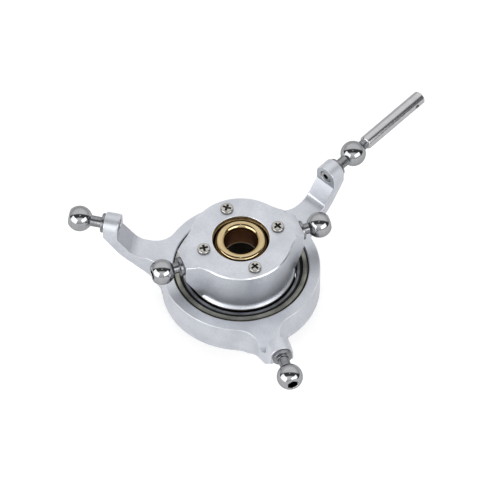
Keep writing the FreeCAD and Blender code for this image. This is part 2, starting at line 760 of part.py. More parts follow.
def clamp_sleeve():
    """The hub's lower half: it carries the bearing and the lower liner, and clamps both."""
    body = new_body("clamp_sleeve")
    section = outline(
        body,
        "sleeve_section",
        "XZ_Plane",
        [
            ("window_radius", "-sleeve_bottom"),
            ("flange_radius", "-sleeve_bottom"),
            ("flange_radius", "-bearing_bottom"),
            ("spigot_radius", "-bearing_bottom"),
            ("spigot_radius", "-bearing_drop - clamp_gap"),
            ("neck_radius", "-bearing_drop - clamp_gap"),
            ("neck_radius", "-clamp_gap"),
            ("sqrt(socket_radius ^ 2 - clamp_gap ^ 2)", "-clamp_gap"),
            ("socket_mouth", "-hub_rise"),
        ],
        {7: ("socket_radius", -1)},
    )
    revolve(body, "sleeve_turned", section)
    hole = new_sketch(body, "clamp_hole_circle", "XY_Plane")
    add_circle(hole, "screw_circle", "0", "screw_radius + thread_clearance")
    depth = "screw_length + screw_hole_spare - hub_rise"
    cut = extrude(body, "clamp_hole", hole, depth, "PartDesign::Pocket")
    pattern(body, "clamp_holes", [cut], "screw_count")
    return place(body, turn="hub_angle")


def clamp_screw(index):
    """A small cross-recessed pan head screw, the index-th round the hub."""
    name = f"clamp_screw_{index + 1}"
    body = new_body(name)
    dome = "screw_head_height - screw_head_edge"
    section = outline(
        body,
        name + "_section",
        "XZ_Plane",
        [
            ("0", "-screw_length"),
            ("screw_radius", "-screw_length"),
            ("screw_radius", "0"),
            ("screw_head_diameter / 2", "0"),
            ("screw_head_diameter / 2", "screw_head_edge"),
            (f"screw_head_diameter / 2 - ({dome})", "screw_head_height"),
            ("0", "screw_head_height"),
        ],
        {4: (dome, 1)},
    )
    revolve(body, name + "_turned", section)
    tip, slot = "cross_recess_span / 2", "cross_recess_width / 2"
    cross = [
        (tip, f"-{slot}"),
        (tip, slot),
        (slot, slot),
        (slot, tip),
        (f"-{slot}", tip),
        (f"-{slot}", slot),
        (f"-{tip}", slot),
        (f"-{tip}", f"-{slot}"),
        (f"-{slot}", f"-{slot}"),
        (f"-{slot}", f"-{tip}"),
        (slot, f"-{tip}"),
        (slot, f"-{slot}"),
    ]
    recess = outline(body, name + "_cross", "XY_Plane", cross, shift="screw_head_height")
    extrude(body, name + "_recess", recess, "cross_recess_depth", "PartDesign::Pocket")
    place(body, "hub_rise", f"hub_angle + {index} * 360 / screw_count")
    for side, turn in (("x", "cos"), ("y", "sin")):
        angle = f"{turn}((hub_angle + {index} * 360 / screw_count) * 1 deg)"
        bind(body, f"Placement.Base.{side}", f"screw_circle * {angle}")
    return body


# ---------------------------------------------------------------- centre ball and its seat
def seat_liner(name, over):
    """Half of the plastic shell that the centre ball turns in."""
    body = new_body(name)
    low, high = "liner_split / 2", "liner_height"
    section = outline(
        body,
        name + "_section",
        "XZ_Plane",
        [
            (f"sqrt(liner_inside ^ 2 - ({low}) ^ 2)", low),
            (f"sqrt(liner_outside ^ 2 - ({low}) ^ 2)", low),
            (f"sqrt(liner_outside ^ 2 - {high} ^ 2)", high),
            (f"sqrt(liner_inside ^ 2 - {high} ^ 2)", high),
        ],
        {1: ("liner_outside", 1), 3: ("liner_inside", -1)},
    )
    revolve(body, name + "_turned", section)
    return place(body, over=over)


def centre_ball():
    body = new_body("centre_ball")
    section = outline(
        body,
        "centre_ball_section",
        "XZ_Plane",
        [
            ("bore_radius", "-ball_half"),
            ("ball_face", "-ball_half"),
            ("ball_face", "ball_half"),
            ("bore_radius", "ball_half"),
        ],
        {1: ("ball_radius", 1)},
    )
    turned = revolve(body, "centre_ball_turned", section)
    half = number("ball_half")
    mouths = circles_at(turned, number("bore_radius"), half)
    mouths += circles_at(turned, number("bore_radius"), -half)
    rounded = dress(body, "bore_mouths", "PartDesign::Fillet", turned, mouths, "bore_mouth_round")
    face = number("ball_face")
    rims = circles_at(rounded, face, half) + circles_at(rounded, face, -half)
    dress(body, "face_rims", "PartDesign::Fillet", rounded, rims, "ball_face_round")
    return body


# ---------------------------------------------------------------- assembly
SUB_PARTS = [
    stationary_ring(),
    guide_pin_stud(),
    bearing_outer_race(),
    bearing_inner_race(),
    bearing_balls(),
    bearing_cage(),
    bearing_shield("bearing_upper_shield", False),
    bearing_shield("bearing_lower_shield", True),
    shield_clip("upper_shield_clip", False),
    shield_clip("lower_shield_clip", True),
    rotating_hub(),
    clamp_sleeve(),
    seat_liner("upper_seat_liner", False),
    seat_liner("lower_seat_liner", True),
    centre_ball(),
]
for arm in range(1, int(number("arm_count"))):
    SUB_PARTS.append(
        ball_stud(
            f"arm_ball_stud_{arm}",
            "arm_reach",
            "arm_stud_thread_length",
            "arm_ball_reach",
            f"90 + {arm} * 360 / arm_count",
        )
    )
for boss in range(2):
    SUB_PARTS.append(
        ball_stud(
            f"hub_ball_stud_{boss + 1}",
            "boss_reach",
            "hub_stud_thread_length",
            "hub_ball_reach",
            f"hub_angle + {boss} * 180",
        )
    )
for screw in range(int(number("screw_count"))):
    SUB_PARTS.append(clamp_screw(screw))

doc.recompute()

# ---------------------------------------------------------------- checks, then the files
for thing in doc.Objects:
    if "Invalid" in thing.State or "Error" in thing.State:
        raise RuntimeError(f"{thing.Name} failed: {thing.State}")
    if thing.TypeId in ("PartDesign::Pocket", "PartDesign::Groove"):
        if thing.Shape.Volume >= thing.BaseFeature.Shape.Volume - 1e-6:
            raise RuntimeError(f"{thing.Name} cuts nothing")
for body in SUB_PARTS:
    if body.Shape.isNull() or not body.Shape.isValid():
        raise RuntimeError(f"{body.Label} has no valid shape")
for body in SUB_PARTS:
    body.Shape.exportStep(f"parts/{body.Label}.step")
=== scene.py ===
import math

import bpy
import numpy as np
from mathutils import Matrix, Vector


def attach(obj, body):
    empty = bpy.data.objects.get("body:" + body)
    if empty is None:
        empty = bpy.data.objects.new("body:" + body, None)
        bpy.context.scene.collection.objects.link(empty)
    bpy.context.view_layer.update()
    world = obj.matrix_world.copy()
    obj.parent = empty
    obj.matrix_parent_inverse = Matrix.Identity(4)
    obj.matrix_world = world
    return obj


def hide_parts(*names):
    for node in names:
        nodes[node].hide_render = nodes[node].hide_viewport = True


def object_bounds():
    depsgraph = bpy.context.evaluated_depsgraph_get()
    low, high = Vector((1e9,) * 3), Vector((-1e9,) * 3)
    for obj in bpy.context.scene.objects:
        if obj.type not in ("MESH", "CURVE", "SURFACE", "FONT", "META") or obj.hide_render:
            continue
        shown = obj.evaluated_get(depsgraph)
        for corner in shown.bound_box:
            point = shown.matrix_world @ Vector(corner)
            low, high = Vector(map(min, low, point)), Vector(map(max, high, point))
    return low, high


# A model helicopter's swashplate: blasted aluminium ring and hub, a ground steel bearing between
# them, polished link balls on turned studs, and a polished brass centre ball.
# Sizes named here are millimetres; everything that goes into a mesh is metres.

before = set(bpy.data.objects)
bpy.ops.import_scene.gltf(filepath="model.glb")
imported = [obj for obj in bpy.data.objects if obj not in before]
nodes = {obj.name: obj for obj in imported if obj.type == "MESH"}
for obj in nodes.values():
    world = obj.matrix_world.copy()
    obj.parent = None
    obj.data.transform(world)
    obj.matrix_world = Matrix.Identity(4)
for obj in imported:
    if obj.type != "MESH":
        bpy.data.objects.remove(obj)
cad_box = [list(corner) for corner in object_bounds()]
MM = 0.001


# ---------------------------------------------------------------- colours and shaders
def linear(code):
    """An sRGB hex colour as the linear numbers that a shader takes."""
    part = np.array([int(code[k : k + 2], 16) for k in (1, 3, 5)]) / 255
    bright = np.where(part <= 0.04045, part / 12.92, ((part + 0.055) / 1.055) ** 2.4)
    return (*bright.tolist(), 1.0)


def add(tree, kind, links=None, stops=None, **settings):
    """Adds one node. A setting names an attribute or, spelled with its capital, an input socket;
    links maps an input socket to the output that feeds it; stops are a ramp's (place, colour)."""
    node = tree.nodes.new(kind)
    for name, value in settings.items():
        if hasattr(node, name):
            setattr(node, name, value)
        else:
            node.inputs[name.replace("_", " ")].default_value = value
    for name, source in (links or {}).items():
        tree.links.new(source, node.inputs[name])
    for number, (place, colour) in enumerate(stops or []):
        bar = node.color_ramp.elements
        stop = bar[number] if number < 2 else bar.new(place)
        stop.position, stop.color = place, colour
    return node


def finish(name, **settings):
    """Starts a material: gives it, its node tree, its Principled shader and its Object
    coordinates."""
    material = bpy.data.materials.new(name)
    material.use_nodes = True
    tree = material.node_tree
    tree.nodes.clear()
    shader = add(tree, "ShaderNodeBsdfPrincipled", **settings)
    add(tree, "ShaderNodeOutputMaterial", {"Surface": shader.outputs[0]})
    place = add(tree, "ShaderNodeTexCoord").outputs["Object"]
    return material, tree, shader, place


def grey(level):
    """A grey of that linear brightness."""
    return (level, level, level, 1.0)


def blasted_aluminium():
    """6061 aluminium, glass-bead blasted and clear anodised: a soft satin grey that spreads every
    reflection wide, with a fine grain and a faint cloudiness of about 3 mm."""
    material, tree, shader, place = finish(
        "blasted_clear_anodised_aluminium", Metallic=1.0, Roughness=0.46
    )
    cloud = add(tree, "ShaderNodeTexNoise", {"Vector": place}, Scale=320.0, Detail=3.0)
    # the bead marks are 0.05 mm; drawn at 0.2 mm so that they show
    grain = add(tree, "ShaderNodeTexNoise", {"Vector": place}, Scale=5000.0, Detail=2.0)
    both = add(
        tree,
        "ShaderNodeMath",
        {0: grain.outputs[0], 1: cloud.outputs[0]},
        operation="MULTIPLY_ADD",
    )
    both.inputs[2].default_value = 0.25
    stops = [(0.38, linear("#BFC2C9")), (0.62, linear("#D1D4DA"))]
    colour = add(tree, "ShaderNodeValToRGB", {"Fac": both.outputs[0]}, stops)
    tree.links.new(colour.outputs["Color"], shader.inputs["Base Color"])
    stops = [(0.3, grey(0.42)), (0.7, grey(0.52))]
    rough = add(tree, "ShaderNodeValToRGB", {"Fac": grain.outputs[0]}, stops)
    tree.links.new(rough.outputs["Color"], shader.inputs["Roughness"])
    bump = add(
        tree, "ShaderNodeBump", {"Height": grain.outputs[0]}, Strength=0.25, Distance=0.02 * MM
    )
    tree.links.new(bump.outputs[0], shader.inputs["Normal"])
    return material


def turned_metal(name, light, dark, rough, pitch, strength, axis=None, edge=1.0):
    """A metal cut on a lathe: fine rings of tool marks, which lie across the axis that is given
    or, where none is, run round the shaft on a face. Pitch is the spacing of the marks in
    millimetres. Edge is the share of light that it keeps where it is seen almost along its
    surface, which iron and chromium dim."""
    material, tree, shader, place = finish(
        name, Metallic=1.0, Roughness=rough, Specular_Tint=grey(edge)
    )
    if axis is None:
        flat = add(tree, "ShaderNodeVectorMath", {0: place}, operation="MULTIPLY")
        flat.inputs[1].default_value = (1.0, 1.0, 0.0)
        along = add(tree, "ShaderNodeVectorMath", {0: flat.outputs[0]}, operation="LENGTH")
        along = along.outputs["Value"]
    else:
        along = add(tree, "ShaderNodeVectorMath", {0: place}, operation="DOT_PRODUCT")
        along.inputs[1].default_value = axis
        along = along.outputs["Value"]
    marks = add(tree, "ShaderNodeTexNoise", {"W": along}, noise_dimensions="1D", Detail=2.0)
    marks.inputs["Scale"].default_value = 1000.0 / pitch
    stain = add(tree, "ShaderNodeTexNoise", {"Vector": place}, Scale=700.0, Detail=2.0)
    mixed = add(
        tree,
        "ShaderNodeMath",
        {0: marks.outputs[0], 1: stain.outputs[0]},
        operation="MULTIPLY_ADD",
    )
    mixed.inputs[2].default_value = 0.25
    stops = [(0.35, linear(dark)), (0.65, linear(light))]
    colour = add(tree, "ShaderNodeValToRGB", {"Fac": mixed.outputs[0]}, stops)
    tree.links.new(colour.outputs["Color"], shader.inputs["Base Color"])
    bump = add(tree, "ShaderNodeBump", {"Height": marks.outputs[0]}, Strength=strength)
    bump.inputs["Distance"].default_value = 0.01 * MM
    tree.links.new(bump.outputs[0], shader.inputs["Normal"])
    return material


def moulded_plastic(name, light, dark, rough, shine=0.0):
    """A hard moulded plastic with the faint orange peel of its mould. Shine is the share of its
    face that is metal powder."""
    material, tree, shader, place = finish(name, Roughness=rough, IOR=1.48, Metallic=shine)
    peel = add(tree, "ShaderNodeTexNoise", {"Vector": place}, Scale=2500.0, Detail=2.0)
    stops = [(0.35, linear(dark)), (0.65, linear(light))]
    colour = add(tree, "ShaderNodeValToRGB", {"Fac": peel.outputs[0]}, stops)
    tree.links.new(colour.outputs["Color"], shader.inputs["Base Color"])
    bump = add(tree, "ShaderNodeBump", {"Height": peel.outputs[0]}, Strength=0.1)
    bump.inputs["Distance"].default_value = 0.02 * MM
    tree.links.new(bump.outputs[0], shader.inputs["Normal"])
    return material


def outward(turn):
    """The unit vector that points away from the shaft at that angle from +X."""
    return (math.cos(math.radians(turn)), math.sin(math.radians(turn)), 0.0)


ALUMINIUM = blasted_aluminium()
# the same alloy where a cutter went over it after blasting, on chamfers and in the ball socket:
# bright and tight, with tool marks 0.15 mm apart
CUT = turned_metal("bright_cut_aluminium", "#E2E4E8", "#D2D4D9", 0.30, 0.15, 0.05)
# ground race faces: grey steel with a faint olive cast of oil, ringed by the wheel
GROUND = turned_metal("ground_bearing_steel", "#A3A399", "#6F6F69", 0.28, 0.25, 0.15, edge=0.7)
# painted shade, a warm near-black, on race chamfers, fits and grooves and in the hub's socket and
# bores
PAINTED_SHADE = turned_metal("painted_shade_bearing_steel", "#454037", "#302C27", 0.40, 0.12, 0.10, edge=0.5)
# pressed sheet under a film of grease: a soft grey sheen
SHIELD = turned_metal("greased_shield_sheet", "#888B90", "#66696E", 0.28, 0.30, 0.06)
# blued spring wire, darkened further as painted shade of its groove: nearly black
CLIP = turned_metal("blued_and_shade_painted_spring_ring", "#2A2B2D", "#1C1D1F", 0.30, 0.10, 0.05, edge=0.6)
# brass polished on the lathe: a warm pale gold with crisp highlights
BRASS = turned_metal("polished_brass", "#C8B48E", "#B7A27A", 0.12, 0.25, 0.03, edge=0.8)
# painted shade in the reamed bore: the brass darkened to a deep red-brown
BORE = turned_metal("shade_painted_brass_bore", "#9C6B48", "#865838", 0.40, 0.30, 0.05, edge=0.8)
# nickel plate over a formed steel head: bright, with a faint yellow warmth
NICKEL = turned_metal("nickel_plated_screw", "#BAB8B3", "#9E9C97", 0.15, 0.12, 0.10, edge=0.6)
# painted shade in a screw's cross recess, on its thread and in the undercut under its head: dull
# and dark
DARK = turned_metal("shadowed_recess_steel", "#3A3936", "#242321", 0.35, 0.20, 0.05)
# natural nylon, moulded: a matt brown
NYLON = moulded_plastic("moulded_nylon_cage", "#6A5A48", "#57493A", 0.45)
# PTFE filled with bronze powder, moulded and smooth: a warm brown with a metal's sheen
SEAT_PLASTIC = moulded_plastic("bronze_filled_seat", "#B09468", "#937850", 0.28, 0.8)


# ---------------------------------------------------------------- surfaces
def soften(corners, size, count=5):
    """The outline through the corners, each corner inside it replaced by a parabola that leaves
    the two sides at that distance from the corner, or at 0.45 of a side where it is short."""
    corners = np.asarray(corners, float)
    middle = corners[1:-1, None, :]
    ways = np.stack((corners[:-2], corners[2:]), axis=1) - middle
    length = np.linalg.norm(ways, axis=2, keepdims=True)
    feet = middle + ways / length * np.minimum(size, 0.45 * length)
    step = np.linspace(0, 1, count)[None, :, None]
    bends = (
        (1 - step) ** 2 * feet[:, :1] + 2 * step * (1 - step) * middle + step**2 * feet[:, 1:]
    )
    return np.concatenate((corners[:1], bends.reshape(-1, 2), corners[-1:]))


def weld(points, faces):
    """Points that share a place to 0.1 micrometre become one, a face with a corner twice loses it,
    and a face with no area left is dropped."""
    cells = np.round(points / 1e-7).astype(np.int64)
    _, first, group = np.unique(cells, axis=0, return_index=True, return_inverse=True)
    faces = group.reshape(-1)[faces]
    if faces.shape[1] == 3:
        kept = (faces != np.roll(faces, 1, axis=1)).all(axis=1)
        return points[first], faces[kept].tolist()
    same = faces == np.roll(faces, -1, axis=1)
    out = faces[~same.any(axis=1)].tolist()
    for corner in range(4):
        chosen = same[:, corner] & (same.sum(axis=1) == 1)
        out += np.delete(faces[chosen], corner, axis=1).tolist()
    return points[first], out


def piece(name, body, stands_for, points, faces, finishes, chosen=None, sharp=30):
    """Makes the object: smooth faces, with edges sharper than that angle kept crisp."""
    mesh = bpy.data.meshes.new(name)
    mesh.from_pydata(points.tolist(), [], faces)
    for material in finishes:
        mesh.materials.append(material)
    if chosen is not None:
        mesh.polygons.foreach_set("material_index", chosen)
    mesh.shade_smooth()
    mesh.set_sharp_from_angle(angle=math.radians(sharp))
    thing = bpy.data.objects.new(name, mesh)
    bpy.context.scene.collection.objects.link(thing)
    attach(thing, body)
    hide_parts(*stands_for)
    return thing


def turned(
    name,
    body,
    node,
    finishes,
    outline,
    turn=None,
    sides=96,
    closed=False,
    bands=None,
    spin=0.0,
    at=(0.0, 0.0, 0.0),
):
    """A turned piece. The outline's rows are (distance along the axis, radius), and a radius may
    be a row of its own, one for each angle; the axis is the shaft's or, with a turn, a stud's.
    A point is the row's distance along the axis plus its radius times the unit vector at the
    angle. Bands give the finish of each stretch between two rows. The piece is spun about its
    axis by that many degrees and stands at that point, in millimetres."""
    angle = np.arange(sides) * 2 * math.pi / sides + math.radians(spin)
    along = np.array([row[0] for row in outline]) * MM
    radius = np.array([np.broadcast_to(row[1], sides) for row in outline]) * MM
    if turn is None:
        axis, one, two = np.eye(3)[[2, 0, 1]]
    else:
        axis = np.array(outward(turn))
        one, two = np.array([-axis[1], axis[0], 0.0]), np.array([0.0, 0.0, 1.0])
    ring = np.cos(angle)[:, None] * one + np.sin(angle)[:, None] * two
    grid = along[:, None, None] * axis + radius[:, :, None] * ring + np.array(at) * MM
    rows = len(grid)
    i, j = np.meshgrid(np.arange(rows if closed else rows - 1), np.arange(sides), indexing="ij")
    after, beside = (i + 1) % rows, (j + 1) % sides
    faces = np.stack(
        (i * sides + j, i * sides + beside, after * sides + beside, after * sides + j), axis=-1
    ).reshape(-1, 4)
    points = grid.reshape(-1, 3)
    bands = [0] * len(i) if bands is None else bands[: len(i)]
    which = np.repeat(bands, sides)
    welded, chosen = [], []
    for band in np.unique(which):
        kept, part = weld(points, faces[which == band])
        welded += part
        chosen += [int(band)] * len(part)
    return piece(name, body, [node], kept, welded, finishes, chosen)


def hexagon(width, sides=96):
    """Radius of a hexagon of that width at each angle: half the width over the cosine of the
    angle from the nearest flat."""
    angle = np.arange(sides) * 2 * math.pi / sides
    return width / 2 / np.cos((angle + math.pi / 6) % (math.pi / 3) - math.pi / 6)


def ball_rows(centre, radius, start, stop, count=40):
    """Rows of a sphere between two distances from its centre along the axis."""
    angle = np.linspace(math.acos(start / radius), math.acos(stop / radius), count)
    return [(centre + radius * math.cos(a), radius * math.sin(a)) for a in angle]


def thread_rows(start, stop, major, pitch, depth, sides=96):
    """Rows of a screw thread: the radius falls and rises once each pitch, and the whole pattern
    moves on by one pitch for each turn, so that its crest is a helix."""
    angle = np.arange(sides) / sides
    rows = []
    for at in np.linspace(start, stop, int(round((stop - start) / pitch * 12)) + 1):
        phase = (at / pitch - angle) % 1.0
        fade = min(1.0, (at - start) / pitch, (stop - at) / pitch)
        rows.append((at, major - depth * fade * (1 - np.abs(2 * phase - 1))))
    return rows


# ---------------------------------------------------------------- ball studs
# radii of the ball, the neck and the collar, how far out the ball's flat stands, and how thick
# the collar is
BALL, NECK, COLLAR = 2.0, 0.85, 1.525
FLAT, COLLAR_DEEP = 1.6, 0.55
# M2: radius, pitch, depth of the drawn thread, and the radius of its plain end
THREAD, PITCH, THREAD_DEPTH, THREAD_END = 1.0, 0.4, 0.14, 0.78
# from the shaft to the face that a stud is screwed into, and to its ball's centre
ARM_FACE, ARM_BALL = 21.5, 25.6
HUB_FACE, HUB_BALL = 9.7, 12.95
GUIDE_TURN, ARM_TURNS, HUB_TURN = 90.0, (210.0, 330.0), 63.9


def stud_metals(turn):
    """Polished ball, turned neck and collar, and near-black painted shade inside the socket."""
    axis = outward(turn)
    ball = turned_metal(
        f"polished_ball_steel_{turn:.0f}", "#AAABAD", "#9D9EA1", 0.07, 0.20, 0.02, axis, 0.6
    )
    neck = turned_metal(
        f"turned_stud_steel_{turn:.0f}", "#96979A", "#707275", 0.26, 0.12, 0.35, axis, 0.6
    )
    # painted shade inside the hexagon socket
    socket = turned_metal(
        f"shade_painted_socket_steel_{turn:.0f}", "#2B2B2C", "#1B1B1C", 0.40, 0.15, 0.15, axis, 0.6
    )
    return [ball, neck, socket]


def shank(face, thread, centre):
    """Rows from a stud's inner end to where its neck meets the ball. Thread is how deep it is
    screwed in."""
    end = face - thread
    rows = [(end, 0.0), (end, THREAD_END)]
    rows += thread_rows(end + 0.12, face - 0.02, THREAD, PITCH, THREAD_DEPTH)
    collar = [
        (face, THREAD),
        (face, COLLAR),
        (face + COLLAR_DEEP, COLLAR),
        (face + COLLAR_DEEP, NECK),
        (centre - math.sqrt(BALL**2 - NECK**2), NECK),
    ]
    soft = soften(collar, 0.14)
    return rows + [tuple(row) for row in soft]


def ball_stud(name, node, body, face, thread, centre, turn):
    """A ball stud: thread, collar, neck, ball, and a hexagon socket in the ball's flat."""
    key, key_deep = 1.5, 1.2
    rows = shank(face, thread, centre)
    turned_count = len(rows) - 1
    rows += ball_rows(centre, BALL, -math.sqrt(BALL**2 - NECK**2), FLAT - 0.03)
    # the flat's rim and the socket's mouth are broken by a few hundredths
    flat, rim, mouth = centre + FLAT, math.sqrt(BALL**2 - FLAT**2), hexagon(key)
    rows += [(flat - 0.008, rim - 0.03), (flat, rim - 0.08), (flat, mouth + 0.04)]
    rows += [(flat - 0.05, mouth)]
    lit = len(rows) - 1
    # the socket's walls and bottom take painted shade
    rows += [(flat - key_deep, mouth), (flat - key_deep - 0.05, mouth * 0.85)]
    rows += [(flat - key_deep - 0.1, 0.0)]
    bands = [1] * turned_count + [0] * (lit - turned_count)
    bands += [2] * (len(rows) - 1 - len(bands))
    return turned(name, body, node, stud_metals(turn), rows, turn, bands=bands)


for number, turn in enumerate(ARM_TURNS, 1):
    name, node = f"arm_stud_{number}", f"arm_ball_stud_{number}"
    ball_stud(name, node, "stationary", ARM_FACE, 2.0, ARM_BALL, turn)
for number, turn in enumerate((HUB_TURN, HUB_TURN + 180), 1):
    name, node = f"hub_stud_{number}", f"hub_ball_stud_{number}"
    ball_stud(name, node, "rotating", HUB_FACE, 2.1, HUB_BALL, turn)


def guide_stud():
    """The guide arm's stud: a hexagon socket in its inner end, its ball, a necked root and the
    long ground pin, with the cross hole dented in from both sides near the end."""
    key, thread, root = 0.95, 2.22, 0.8
    pin, pin_start, pin_end = 1.1, 28.5, 41.2
    hole, hole_at = 0.4, 39.3
    socket, inner = hexagon(key), ARM_FACE - thread
    rows = [(inner + 1.0, 0.0), (inner + 0.98, socket * 0.9), (inner + 0.9, socket)]
    rows += [(inner, socket), (inner, 0.9)]
    # the socket in the inner end takes painted shade
    bands = [2] * 3 + [3]
    rows += shank(ARM_FACE, thread, ARM_BALL)[2:]
    bands += [1] * (len(rows) - 1 - len(bands))
    root_start = math.sqrt(BALL**2 - root**2)
    rows += ball_rows(ARM_BALL, BALL, -math.sqrt(BALL**2 - NECK**2), root_start)
    bands += [0] * (len(rows) - 1 - len(bands))
    neck_end = len(rows)
    step = [
        (ARM_BALL + root_start, root),
        (pin_start - 0.2, root),
        (pin_start - 0.2, 0.9),
        (pin_start, pin),
        (hole_at - 0.6, pin),
    ]
    rows += [tuple(row) for row in soften(step, 0.06)]
    # the hole's axis is level, so it opens at the angles 0 and 180 degrees
    across = pin * np.sin(np.arange(96) * 2 * math.pi / 96)
    for at in np.linspace(hole_at - 0.55, hole_at + 0.55, 45):
        inside = np.hypot(at - hole_at, across) < hole
        rows.append((at, np.where(inside, np.abs(across) + 0.12, pin)))
    rows += [(pin_end - 0.2, pin), (pin_end - 0.05, 0.97), (pin_end, 0.9), (pin_end, 0.0)]
    bands += [1] * (neck_end + 3 - len(bands))
    bands += [3] * (len(rows) - 1 - len(bands))
    # a centreless-ground pin: smooth and even along its whole length, with broad soft lights
    ground = turned_metal(
        "ground_pin_steel", "#BCBCBE", "#B4B4B7", 0.21, 1.5, 0.0, outward(GUIDE_TURN), 0.7
    )
    metals = stud_metals(GUIDE_TURN) + [ground]
    return turned(
        "guide_stud",
        "stationary",
        "guide_pin_stud",
        metals,
        rows,
        GUIDE_TURN,
        bands=bands,
    )


guide_stud()


# ---------------------------------------------------------------- centre ball
def centre_ball():
    """The brass ball: its bore, and at each end a round lip that rolls over from the bore to the
    sphere. The lip is an arc that touches both: its centre lies one lip radius outside the bore,
    one below the end, and one less than the ball's radius from the middle."""
    half, bore, ball = 2.35, 2.51, 4.35  # half its height, and the radii of bore and sphere
    slope = bore - half + ball
    lip = -slope + math.sqrt(slope**2 + ball**2 - bore**2 - half**2)
    middle = (half - lip, bore + lip)
    touch = math.atan2(middle[1], middle[0])
    upper = [
        (middle[0] + lip * math.cos(a), middle[1] + lip * math.sin(a))
        for a in np.linspace(-math.pi / 2, touch, 30)
    ]
    shoulder = upper[-1][0]
    sphere = ball_rows(0, ball, shoulder, -shoulder, 60)[1:-1]
    lower = [(-z, r) for z, r in upper[::-1]]
    rows = (upper + sphere + lower)[::-1]
    # the last stretch closes the outline along the bore
    # the stretch along the bore takes its painted shade
    bands = [0] * (len(rows) - 1) + [1]
    return turned(
        "brass_ball",
        "centre_ball",
        "centre_ball",
        [BRASS, BORE],
        rows,
        sides=160,
        closed=True,
        bands=bands,
    )


centre_ball()


# ---------------------------------------------------------------- bearing rings and seat
def ring(name, body, node, slot, material, section, rounding, bright=(0.0, 99.0)):
    """A ring turned round the shaft: its closed section is softened at each corner. Outside the
    bright range of radius its faces take painted shade."""
    section = np.array(section)
    looped = np.concatenate((section[-1:], section, section[:1]))
    rows = soften(looped, rounding, 4)[1:-1]
    area = np.sum(rows[:, 0] * np.roll(rows[:, 1], -1) - rows[:, 1] * np.roll(rows[:, 0], -1))
    rows = rows[::-1] if area > 0 else rows
    outline = [tuple(row) for row in rows]
    middle = (rows[:, 1] + np.roll(rows[:, 1], -1)) / 2
    bands = ((middle < bright[0]) | (middle > bright[1])).astype(int).tolist()
    metals = [material, PAINTED_SHADE]
    return turned(name, body, node, metals, outline, sides=160, closed=True, bands=bands)


def seat_half(name, side):
    """Half of the ball's seat: a shell between two spheres, from the split to a flat rim."""
    inside, outside = 4.38, 4.93
    split, rim = 0.05, 1.5  # heights above the ball's centre
    section = [(z, math.sqrt(inside**2 - z**2)) for z in np.linspace(split, rim - 0.3, 12)]
    section += [(rim, 4.36), (rim, 4.68)]
    section += [(z, math.sqrt(outside**2 - z**2)) for z in np.linspace(rim - 0.05, split, 12)]
    section = [(side * z, r) for z, r in section]
    node = f"{name}_seat_liner"
    name = f"{name}_seat_half"
    # the seat's inside, nearer the shaft than 4.3 mm, takes painted shade
    ring(name, "seat_liner", node, "seat_plastic", SEAT_PLASTIC, section, 0.03, (4.3, 9.0))


# the bearing is 15 x 21 x 4 mm: heights of its middle and faces, and radii from the outside in
MIDDLE, TOP, UNDER = -6.7, -4.7, -8.7
OUTER, REBATE, LAND, INNER_FACE, INNER = 10.5, 9.62, 9.48, 8.45, 7.5
REBATE_DEEP, RACE_CHAMFER = 0.42, 0.2
# radius of the circle that the balls run on, of the grooves' section, and how far past the circle
# each groove has its centre
BALL_CIRCLE, GROOVE, PAST = 9.0, 0.83, 0.016


def shield_and_clip(name, side):
    """A shield pressed with a raised land, and the spring ring that holds it in the rebate."""
    sheet, rise, bore, rim, wire_bore = 0.16, 0.1, 8.6, 9.61, 9.31
    face = MIDDLE + side * (TOP - MIDDLE - REBATE_DEEP)
    low, high = face + side * sheet, face + side * (sheet + rise)
    plate = [(face, bore), (face, rim), (low, rim), (low, 9.2)]
    plate += [(high, 9.1), (high, 8.75), (low, bore)]
    node = f"bearing_{name}_shield"
    # the shield's outer rim, beyond 9.14 mm, takes painted shade
    shine = (0.0, 9.14)
    ring(f"{name}_shield", "stationary", node, "shield_steel", SHIELD, plate, 0.05, shine)
    top = low + side * 0.16
    wire = [(low, wire_bore), (low, rim), (top, rim), (top, wire_bore)]
    ring(f"{name}_clip", "stationary", f"{name}_shield_clip", "turned_steel", CLIP, wire, 0.06)


def races():
    """Both races: a block with chamfered outer corners and a groove of circular section."""
    groove = np.radians(np.linspace(-38, 38, 13))[::-1]
    outside, inside = BALL_CIRCLE - PAST, BALL_CIRCLE + PAST
    section = [(UNDER, REBATE), (UNDER, OUTER - RACE_CHAMFER), (UNDER + RACE_CHAMFER, OUTER)]
    section += [(TOP - RACE_CHAMFER, OUTER), (TOP, OUTER - RACE_CHAMFER), (TOP, REBATE)]
    section += [(TOP - REBATE_DEEP, REBATE), (TOP - REBATE_DEEP, LAND)]
    section += [(MIDDLE + GROOVE * math.sin(a), outside + GROOVE * math.cos(a)) for a in groove]
    section += [(UNDER + REBATE_DEEP, LAND), (UNDER + REBATE_DEEP, REBATE)]
    # outside each given range of radius, the grooves, rebates, fits and chamfers take painted
    # shade
    names = ("outer_race", "stationary", "bearing_outer_race", "bearing_steel")
    ring(*names, GROUND, section, 0.05, (9.66, 10.27))
    section = [(UNDER, INNER_FACE), (UNDER, INNER + RACE_CHAMFER), (UNDER + RACE_CHAMFER, INNER)]
    section += [(TOP - RACE_CHAMFER, INNER), (TOP, INNER + RACE_CHAMFER), (TOP, INNER_FACE)]
    section += [(MIDDLE + GROOVE * math.sin(a), inside - GROOVE * math.cos(a)) for a in groove]
    names = ("inner_race", "rotating", "bearing_inner_race", "bearing_steel")
    ring(*names, GROUND, section, 0.05, (7.75, 8.4))


for name, side in (("upper", 1), ("lower", -1)):
    seat_half(name, side)
for name, side in (("upper", 1), ("lower", -1)):
    shield_and_clip(name, side)
races()


